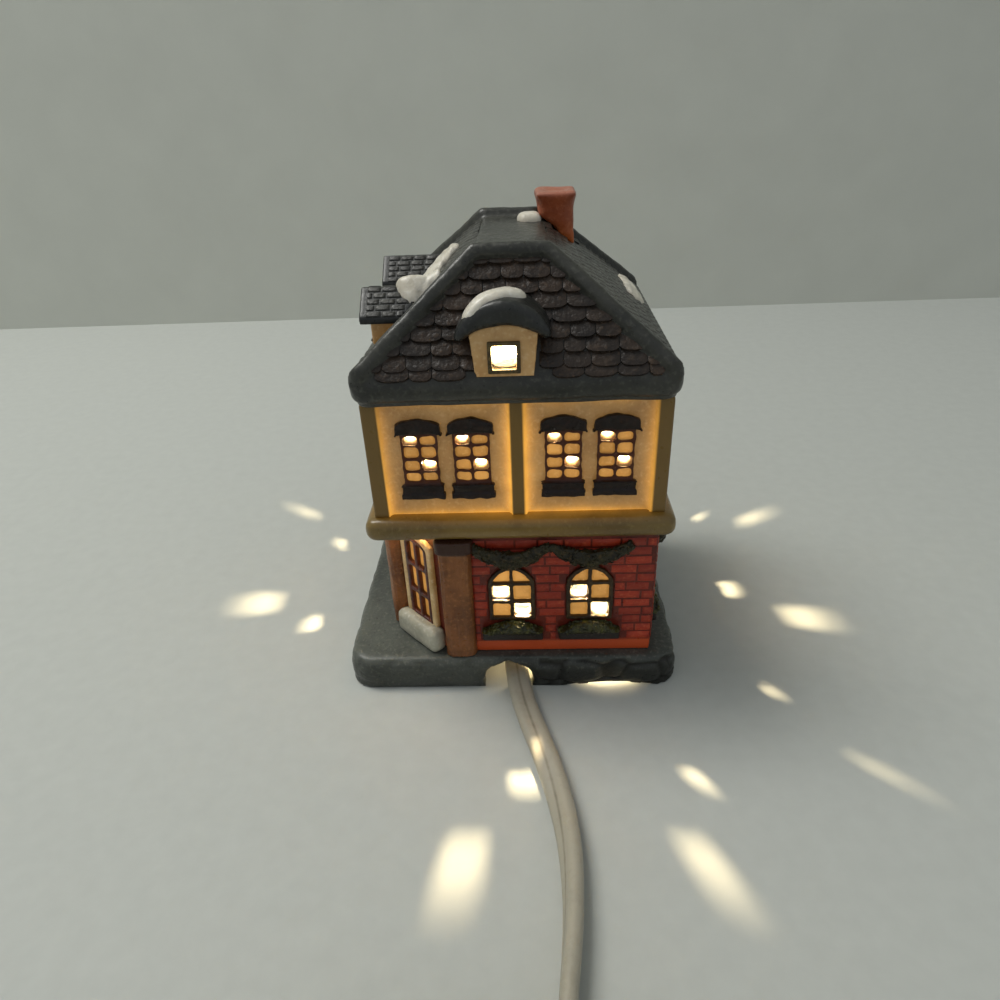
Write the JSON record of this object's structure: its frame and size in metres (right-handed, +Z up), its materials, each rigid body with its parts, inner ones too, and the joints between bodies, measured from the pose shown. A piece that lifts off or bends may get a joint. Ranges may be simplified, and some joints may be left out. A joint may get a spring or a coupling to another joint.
{
  "type": "ceramic christmas village house",
  "caption": "Glazed ceramic village house with hipped roof, dormers, snow and pierced windows, standing over a clip-in lamp on a cord that lights it from inside.",
  "frame": {"origin": "middle of the base slab's underside, on the surface it stands on", "axes": "+Z up, -Y out of the pictured front, +X to the right of that front"},
  "size_m": [0.0935, 0.241, 0.0993],
  "materials": {
    "grey_glaze": "gloss",
    "pale_step": "gloss",
    "brick_red": "gloss",
    "column_brown": "gloss",
    "frame_brown": "gloss",
    "greenery": "gloss",
    "ledge_tan": "gloss",
    "cream_wall": "gloss",
    "roof_grey": "gloss",
    "slate_brown": "gloss",
    "chimney_brick": "gloss",
    "snow_white": "gloss",
    "socket_plastic": "matte",
    "thread_metal": "satin",
    "contact_brass": "satin",
    "clip_steel": "satin",
    "insulator_black": "gloss",
    "bulb_glass": "gloss",
    "filament": "glowing",
    "cord_ivory": "satin",
    "tie_white": "matte",
    "plug_ivory": "satin"
  },
  "bodies": {
    "lamp": {"socket_shell": "socket_plastic", "socket_thread": "thread_metal", "socket_contact": "contact_brass", "spring_clip": "clip_steel", "cord_lead": "cord_ivory", "cord_coil": "cord_ivory", "cord_tail": "cord_ivory", "cord_tie": "tie_white", "plug_body": "plug_ivory", "plug_blades": "contact_brass"},
    "house": {"arch_windows_back": "frame_brown", "arch_windows_front": "frame_brown", "arch_windows_left": "frame_brown", "arch_windows_right": "frame_brown", "back_shingles": "roof_grey", "base_slab": "grey_glaze", "belt_ledge": "ledge_tan", "chimney": "chimney_brick", "column_front": "column_brown", "column_side": "column_brown", "door_leaf": "frame_brown", "door_step": "pale_step", "door_surround": "frame_brown", "front_dormer_cap": "roof_grey", "front_dormer_frame": "frame_brown", "front_dormer_wall": "cream_wall", "front_shingles": "slate_brown", "hip_rolls": "roof_grey", "left_shingles": "roof_grey", "lower_walls": "brick_red", "right_shingles": "roof_grey", "roof_shell": "roof_grey", "sash_windows_back": "frame_brown", "sash_windows_front": "frame_brown", "sash_windows_left": "frame_brown", "sash_windows_right": "frame_brown", "side_dormer_far_roof": "roof_grey", "side_dormer_far_wall": "cream_wall", "side_dormer_near_roof": "roof_grey", "side_dormer_near_wall": "cream_wall", "snow_chimney": "snow_white", "snow_dormer": "snow_white", "snow_right": "snow_white", "snow_valleys": "snow_white", "swags_back": "greenery", "swags_front": "greenery", "swags_right": "greenery", "upper_walls": "cream_wall", "window_boxes_back": "greenery", "window_boxes_front": "greenery", "window_boxes_left": "greenery", "window_boxes_right": "greenery"},
    "bulb_foot": {"bulb_contact": "contact_brass", "bulb_insulator": "insulator_black"},
    "bulb": {"bulb_cap": "thread_metal", "bulb_glass": "bulb_glass", "bulb_stem": "bulb_glass", "bulb_filament": "filament"}
  },
  "joints": [
    {"name": "house_lift", "type": "slide", "parent": "lamp", "child": "house", "axis": [0, 0, 1], "range_m": [0, 0.085]},
    {"name": "bulb_rise", "type": "slide", "parent": "lamp", "child": "bulb_foot", "axis": [0, 0, 1], "range_m": [0, 0.0102]},
    {"name": "bulb_turn", "type": "hinge", "parent": "bulb_foot", "child": "bulb", "pos_m": [0.0026, -0.0005, 0.012], "axis": [0, 0, 1], "range_deg": [0, 1440]}
  ],
  "couplings": [
    {"joint": "bulb_rise", "follows": "bulb_turn", "m_per_rad": 0.00040425}
  ]
}
